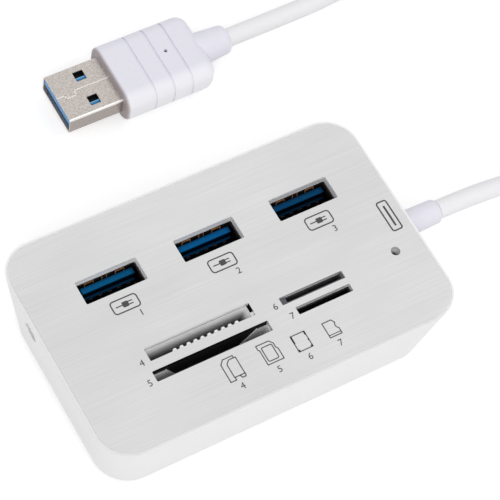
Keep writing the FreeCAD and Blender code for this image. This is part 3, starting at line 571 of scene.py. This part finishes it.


# Copper contacts darkened by painted shade, darker still deep in the port.
shaded_contact_copper = finish("shaded_contact_copper", tone(72, 44, 34), 0.08, 3000, rough=(0.4, 0.5),
                       metallic=0.2, dim=(PLATE_TOP - 4 * MM, PLATE_TOP - 3.5 * MM, 0.05))
cord_jacket = finish("cord_jacket", tone(236, 236, 238), 0.012, 1100, rough=(0.42, 0.52), bump=0.10)
plate_ink = finish("plate_ink", tone(64, 64, 66), 0.08, 2600, rough=(0.5, 0.6), bump=0.05)
# All tongues are one blue plastic; the three tones per port are painted light and shade.
for number, blue in ((1, tone(0, 82, 126)), (2, tone(0, 85, 140)), (3, tone(0, 62, 102))):
    port = "port_" + str(number)
    # Nickel shells painted dark as painted shade, darker deep in the port.
    dress(port + "_shell", finish(
        port + "_painted_shade_shell", tone(46, 42, 42), 0.1, 3000, rough=(0.35, 0.5), metallic=0.4,
        tint=spring_edges(port), dim=(PLATE_TOP - 4 * MM, PLATE_TOP - 1.7 * MM, 0.15)))
    dress(port + "_tongue", finish(
        port + "_tongue_blue", blue, 0.08, 1500, rough=(0.36, 0.46), tint=tongue_shade(port),
        Specular_IOR_Level=0.06))
    dress(port + "_contacts", shaded_contact_copper)
# The comb's white is raised as painted light on its back wall, and painted shade darkens it deep
# down.
dress("comb_socket", finish(
    "comb_white", grey(252), 0.02, 1400, rough=(0.4, 0.5), tint=comb_shade,
    dim=(PLATE_TOP - 7 * MM, PLATE_TOP - 2.5 * MM, 0.08)))
dress("power_jack_body", finish("jack_pale", tone(236, 234, 236), 0.02, 1400, rough=(0.4, 0.5)))
dress("plug_grip", finish(
    "grip_white", tone(229, 228, 237), 0.012, 1100, rough=(0.40, 0.50), bump=0.10, tint=grip_shade))
dress("plug_insulator", finish(
    "plug_blue", tone(44, 138, 200), 0.08, 1500, rough=(0.34, 0.45), tint=window_shade))


# Cord along the route of its solid

def make_cord():
    route = (
        (49.1, 0.45, 10.2),
        (58.9, 0.45, 10.2),
        (76.0, 0.0, 6.4),
        (97.0, -1.0, 2.6),
        (120.0, 2.0, 2.0),
        (139.0, 14.0, 2.0),
        (148.0, 33.0, 2.0),
        (140.0, 53.0, 2.0),
        (121.0, 64.0, 2.0),
        (98.0, 66.2, 2.0),
        (78.0, 62.9, 2.2),
        (61.0, 59.3, 3.2),
        (46.4, 58.4, 4.1),
        (33.4, 58.4, 4.1),
    )
    radius = 2.0 * MM
    curve = bpy.data.curves.new("cord_line", "CURVE")
    curve.dimensions = "3D"
    spline = curve.splines.new("NURBS")
    spline.points.add(len(route) - 1)
    for place, (x, y, z) in zip(spline.points, route):
        place.co = (x * MM, y * MM, z * MM, 1.0)
    spline.order_u = 3
    spline.use_endpoint_u = True
    spline.resolution_u = 14
    curve.bevel_depth = radius
    curve.bevel_resolution = 8
    curve.use_fill_caps = True
    piece = bpy.data.objects.new("cord_line", curve)
    scene.collection.objects.link(piece)
    curve.materials.append(cord_jacket)
    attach(piece, "root")
    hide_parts("cord")


make_cord()


# Flat shapes in a coat of ink. Their places are (x, y) in mm on the plate.

def print_on_plate(name, mesh):
    mesh.materials.append(plate_ink)
    piece = bpy.data.objects.new(name, mesh)
    scene.collection.objects.link(piece)
    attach(piece, "root")


def add_shape(form, corners, rounding=0.0, line=0.0, level=PLATE_TOP):
    """Flat shape with its corners rounded, kept as an outline if a line width is given."""
    shape = bmesh.new()
    shape.faces.new([shape.verts.new((x * MM, y * MM, level)) for x, y in corners])
    if rounding:
        bmesh.ops.bevel(shape, geom=list(shape.verts), offset=rounding * MM, offset_type="OFFSET",
                        segments=5, profile=0.5, affect="VERTICES", material=-1)
    if line:
        inner = list(shape.faces)
        bmesh.ops.inset_region(shape, faces=inner, thickness=line * MM, use_boundary=True,
                               use_even_offset=True)
        bmesh.ops.delete(shape, geom=inner, context="FACES_ONLY")
    mesh = bpy.data.meshes.new("shape")
    shape.to_mesh(mesh)
    shape.free()
    form.from_mesh(mesh)
    bpy.data.meshes.remove(mesh)


def printed_mesh(form, name):
    """Give the flat shapes the thickness of a coat of ink."""
    made = bmesh.ops.extrude_face_region(form, geom=list(form.faces))
    lifted = [item for item in made["geom"] if isinstance(item, bmesh.types.BMVert)]
    bmesh.ops.translate(form, verts=lifted, vec=(0, 0, INK_HEIGHT))
    bmesh.ops.recalc_face_normals(form, faces=list(form.faces))
    mesh = bpy.data.meshes.new(name)
    form.to_mesh(mesh)
    form.free()
    return mesh


def add_line(form, bends, width, level=PLATE_TOP):
    """Line of straight strips from bend to bend."""
    for first, last in zip(bends, bends[1:]):
        here = Vector(first)
        there = Vector(last)
        along = (there - here).normalized() * width / 2
        side = Vector((-along.y, along.x))
        start = here - along
        end = there + along
        add_shape(form, (start - side, end - side, end + side, start + side), level=level)


def box_corners(x0, x1, y0, y1):
    return ((x0, y0), (x1, y0), (x1, y1), (x0, y1))


def moved(corners, x, y):
    return [(x + along, y + across) for along, across in corners]


# Printing on the plate

def print_port_sign(number, x, y):
    """Rounded frame with a plain plug in it."""
    half_length, half_width = 2.85, 1.52
    frame_rounding, frame_line = 0.75, 0.26
    plug_back, plug_front, plug_half = x - 0.6, x + 0.7, 0.6
    plug_rounding = 0.25
    cord_end, pin_end = x - 2.0, x + 1.6
    pin_offset, half_line = 0.32, 0.11
    form = bmesh.new()
    outline = box_corners(x - half_length, x + half_length, y - half_width, y + half_width)
    add_shape(form, outline, frame_rounding, frame_line)
    add_shape(form, box_corners(plug_back, plug_front, y - plug_half, y + plug_half), plug_rounding)
    add_shape(form, box_corners(cord_end, plug_back, y - half_line, y + half_line))
    for side in (-1, 1):
        pin = y + side * pin_offset
        add_shape(form, box_corners(plug_front, pin_end, pin - half_line, pin + half_line))
    name = "port_sign_" + str(number)
    print_on_plate(name, printed_mesh(form, name))


def print_number(name, number, x, y):
    """Plain figure beside a sign or a slot."""
    curve = bpy.data.curves.new("figure", "FONT")
    curve.body = str(number)
    curve.size = 1.95 * MM
    curve.align_x = "CENTER"
    curve.align_y = "CENTER"
    curve.extrude = INK_HEIGHT / 2
    text = bpy.data.objects.new("figure", curve)
    scene.collection.objects.link(text)
    shaped = text.evaluated_get(bpy.context.evaluated_depsgraph_get())
    mesh = bpy.data.meshes.new_from_object(shaped)
    bpy.data.objects.remove(text)
    bpy.data.curves.remove(curve)
    mesh.materials.clear()
    mesh.transform(Matrix.Translation((x * MM, y * MM, PLATE_TOP + INK_HEIGHT / 2)))
    print_on_plate(name, mesh)


def print_card_signs():
    """Plain outlines of the four kinds of card."""
    form = bmesh.new()
    thin = 0.2
    # Tall card behind a smaller one
    x, y = -9.0, -16.3
    tall_card = ((1.2, 2.0), (1.2, 2.4), (-0.9, 2.4), (-1.7, 1.5), (-1.7, -2.4), (-0.5, -2.4),
                 (-0.5, -1.9))
    front_card = ((-0.7, -1.9), (1.7, -1.9), (1.7, 2.0), (0.1, 2.0), (-0.7, 1.2))
    foot = ((0.6, -1.9), (0.8, -2.4), (1.5, -2.4), (1.7, -1.9))
    add_line(form, moved(tall_card, x, y), thin)
    add_shape(form, moved(front_card, x, y), 0.15, thin)
    add_line(form, moved(foot, x, y), thin)
    # Wide card with notched sides and a frame in it
    x, y = -1.05, -16.4
    wide_card = ((-1.7, -2.3), (1.95, -2.3), (1.95, 0.2), (1.65, 0.5), (1.65, 1.5), (0.95, 2.3),
                 (-1.95, 2.3), (-1.95, 1.3), (-1.7, 1.1))
    add_shape(form, moved(wide_card, x, y), 0.12, thin)
    add_shape(form, box_corners(x - 1.2, x + 1.2, y - 1.75, y + 1.55), 0.35, thin)
    # Small card with bold marks on its edges
    x, y = 5.5, -17.05
    add_shape(form, box_corners(x - 1.6, x + 1.6, y - 1.85, y + 1.85), 0.12, thin)
    for x0, x1, y0, y1 in ((-1.6, -1.25, 0.1, 1.75), (1.25, 1.6, 1.0, 1.75), (1.3, 1.6, -0.35, 0.0),
                           (1.15, 1.6, -1.75, -1.35), (-1.6, -1.15, -1.75, -1.3)):
        add_shape(form, box_corners(x + x0, x + x1, y + y0, y + y1))
    # Smallest card with a wavy side
    x, y = 12.15, -17.15
    wavy_card = ((-1.4, -1.75), (1.4, -1.75), (1.4, -0.4), (1.0, 0.0), (1.0, 0.6), (1.25, 0.85),
                 (0.75, 1.75), (-1.4, 1.75))
    add_shape(form, moved(wavy_card, x, y), 0.1, thin)
    add_shape(form, box_corners(x - 1.25, x + 1.25, y - 1.25, y - 1.08))
    print_on_plate("card_signs", printed_mesh(form, "card_signs"))


def print_lamp_sign():
    """Tall rounded frame with a bar in it, near the right edge."""
    form = bmesh.new()
    add_shape(form, box_corners(33.8, 36.25, -4.2, 2.95), 0.6, 0.3)
    add_shape(form, box_corners(34.87, 35.29, -3.1, 1.75), 0.1)
    print_on_plate("lamp_sign", printed_mesh(form, "lamp_sign"))


def make_seam_edge():
    """Bright edges of the folded sheet along the joint on top of the plug's shell: burnished metal
    and a painted highlight.
    """
    low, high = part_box("plug_shell")
    width = 0.2
    bends = ((0.0, 0.0), (1.9, 0.0), (1.7, -0.8), (4.2, -0.8), (4.0, 0.4), (12.1, 0.4))
    form = bmesh.new()
    add_line(form, moved(bends, low.x / MM, (low.y + high.y) / 2 / MM), width, high.z)
    mesh = printed_mesh(form, "seam_edge")
    mesh.materials.append(finish("seam_bright", tone(240, 234, 230), 0.06, 4000, rough=(0.3, 0.4),
                                 metallic=0.5))
    piece = bpy.data.objects.new("seam_edge", mesh)
    scene.collection.objects.link(piece)
    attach(piece, "root")


make_seam_edge()
port_signs = ((-20.66, 4.38), (0.29, 4.3), (21.92, 4.38))
slot_numbers = ((-23.7, -8.0), (-24.3, -12.3), (4.7, -8.5), (6.7, -11.6))
card_numbers = ((-9.0, -20.3), (-1.05, -20.3), (5.5, -20.5), (12.15, -20.5))
number_right, number_down = 2.0, 2.9
for number, (x, y) in enumerate(port_signs, 1):
    print_port_sign(number, x, y)
    print_number("port_number_" + str(number), number, x + number_right, y - number_down)
for number, (x, y) in enumerate(slot_numbers, 4):
    print_number("slot_number_" + str(number), number, x, y)
for number, (x, y) in enumerate(card_numbers, 4):
    print_number("card_number_" + str(number), number, x, y)
print_card_signs()
print_lamp_sign()


# Camera, light and floor

def make_camera():
    data = bpy.data.cameras.new("camera")
    data.lens = 163.04
    data.sensor_width = 36.0
    data.sensor_fit = "HORIZONTAL"
    camera = bpy.data.objects.new("camera", data)
    scene.collection.objects.link(camera)
    right = Vector((0.86333, -0.48915, 0.12405))
    up = Vector((0.37324, 0.78439, 0.49540))
    back = Vector((-0.33963, -0.38139, 0.85976))
    turn = Matrix((right, up, back)).transposed().to_4x4()
    place = (-0.140847, -0.160988, 0.392756)
    camera.matrix_world = Matrix.Translation(place) @ turn
    scene.camera = camera


def seen_directly(tree):
    """One for what the camera sees, straight, mirrored or through something clear."""
    path = tree.nodes.new("ShaderNodeLightPath")
    return any_of(tree, path.outputs["Is Camera Ray"], path.outputs["Is Glossy Ray"],
                  path.outputs["Is Transmission Ray"])


def make_floor():
    half_side = 3.0
    drop = 0.02 * MM
    glow = 0.42
    form = bmesh.new()
    bmesh.ops.create_grid(form, x_segments=1, y_segments=1, size=half_side)
    bmesh.ops.translate(form, verts=list(form.verts), vec=(0, 0, -drop))
    mesh = bpy.data.meshes.new("floor")
    form.to_mesh(mesh)
    form.free()
    floor = bpy.data.objects.new("floor", mesh)
    scene.collection.objects.link(floor)
    material, tree, shader = new_finish("floor_white")
    shader.inputs["Base Color"].default_value = (0.72, 0.72, 0.72, 1)
    shader.inputs["Roughness"].default_value = 0.9
    shader.inputs["Specular IOR Level"].default_value = 0.1
    shader.inputs["Emission Color"].default_value = (1, 1, 1, 1)
    glowing = ranged(tree, seen_directly(tree), 0.0, glow, 0.0, 1.0)
    tree.links.new(glowing, shader.inputs["Emission Strength"])
    mesh.materials.append(material)


def make_light():
    """Pale tent all round, which looks white to the camera, and two soft lamps."""
    world = bpy.data.worlds.new("studio")
    scene.world = world
    world.use_nodes = True
    tree = world.node_tree
    background = tree.nodes["Background"]
    direction = tree.nodes.new("ShaderNodeTexCoord")
    split = tree.nodes.new("ShaderNodeSeparateXYZ")
    tree.links.new(direction.outputs["Generated"], split.inputs["Vector"])
    level_tone = (0.85, 0.85, 0.855, 1)
    top_tone = (0.67, 0.67, 0.675, 1)
    tent = two_tone(tree, split.outputs["Z"], level_tone, top_tone, 0.0, 1.0)
    colour = painted(tree, seen_directly(tree), tent, (1, 1, 1, 1))
    tree.links.new(colour, background.inputs["Color"])
    background.inputs["Strength"].default_value = 1.0
    for name, place, size, power in (
        ("key", (-0.35, -0.7, 0.95), 0.8, 4.5),
        ("fill", (0.8, -0.3, 0.9), 0.8, 1.0),
    ):
        data = bpy.data.lights.new(name, "AREA")
        data.shape = "DISK"
        data.size = size
        data.energy = power
        lamp = bpy.data.objects.new(name, data)
        lamp.location = place
        lamp.rotation_euler = Vector(place).to_track_quat("Z", "Y").to_euler()
        scene.collection.objects.link(lamp)


make_camera()
make_floor()
make_light()
scene.view_settings.view_transform = "Standard"
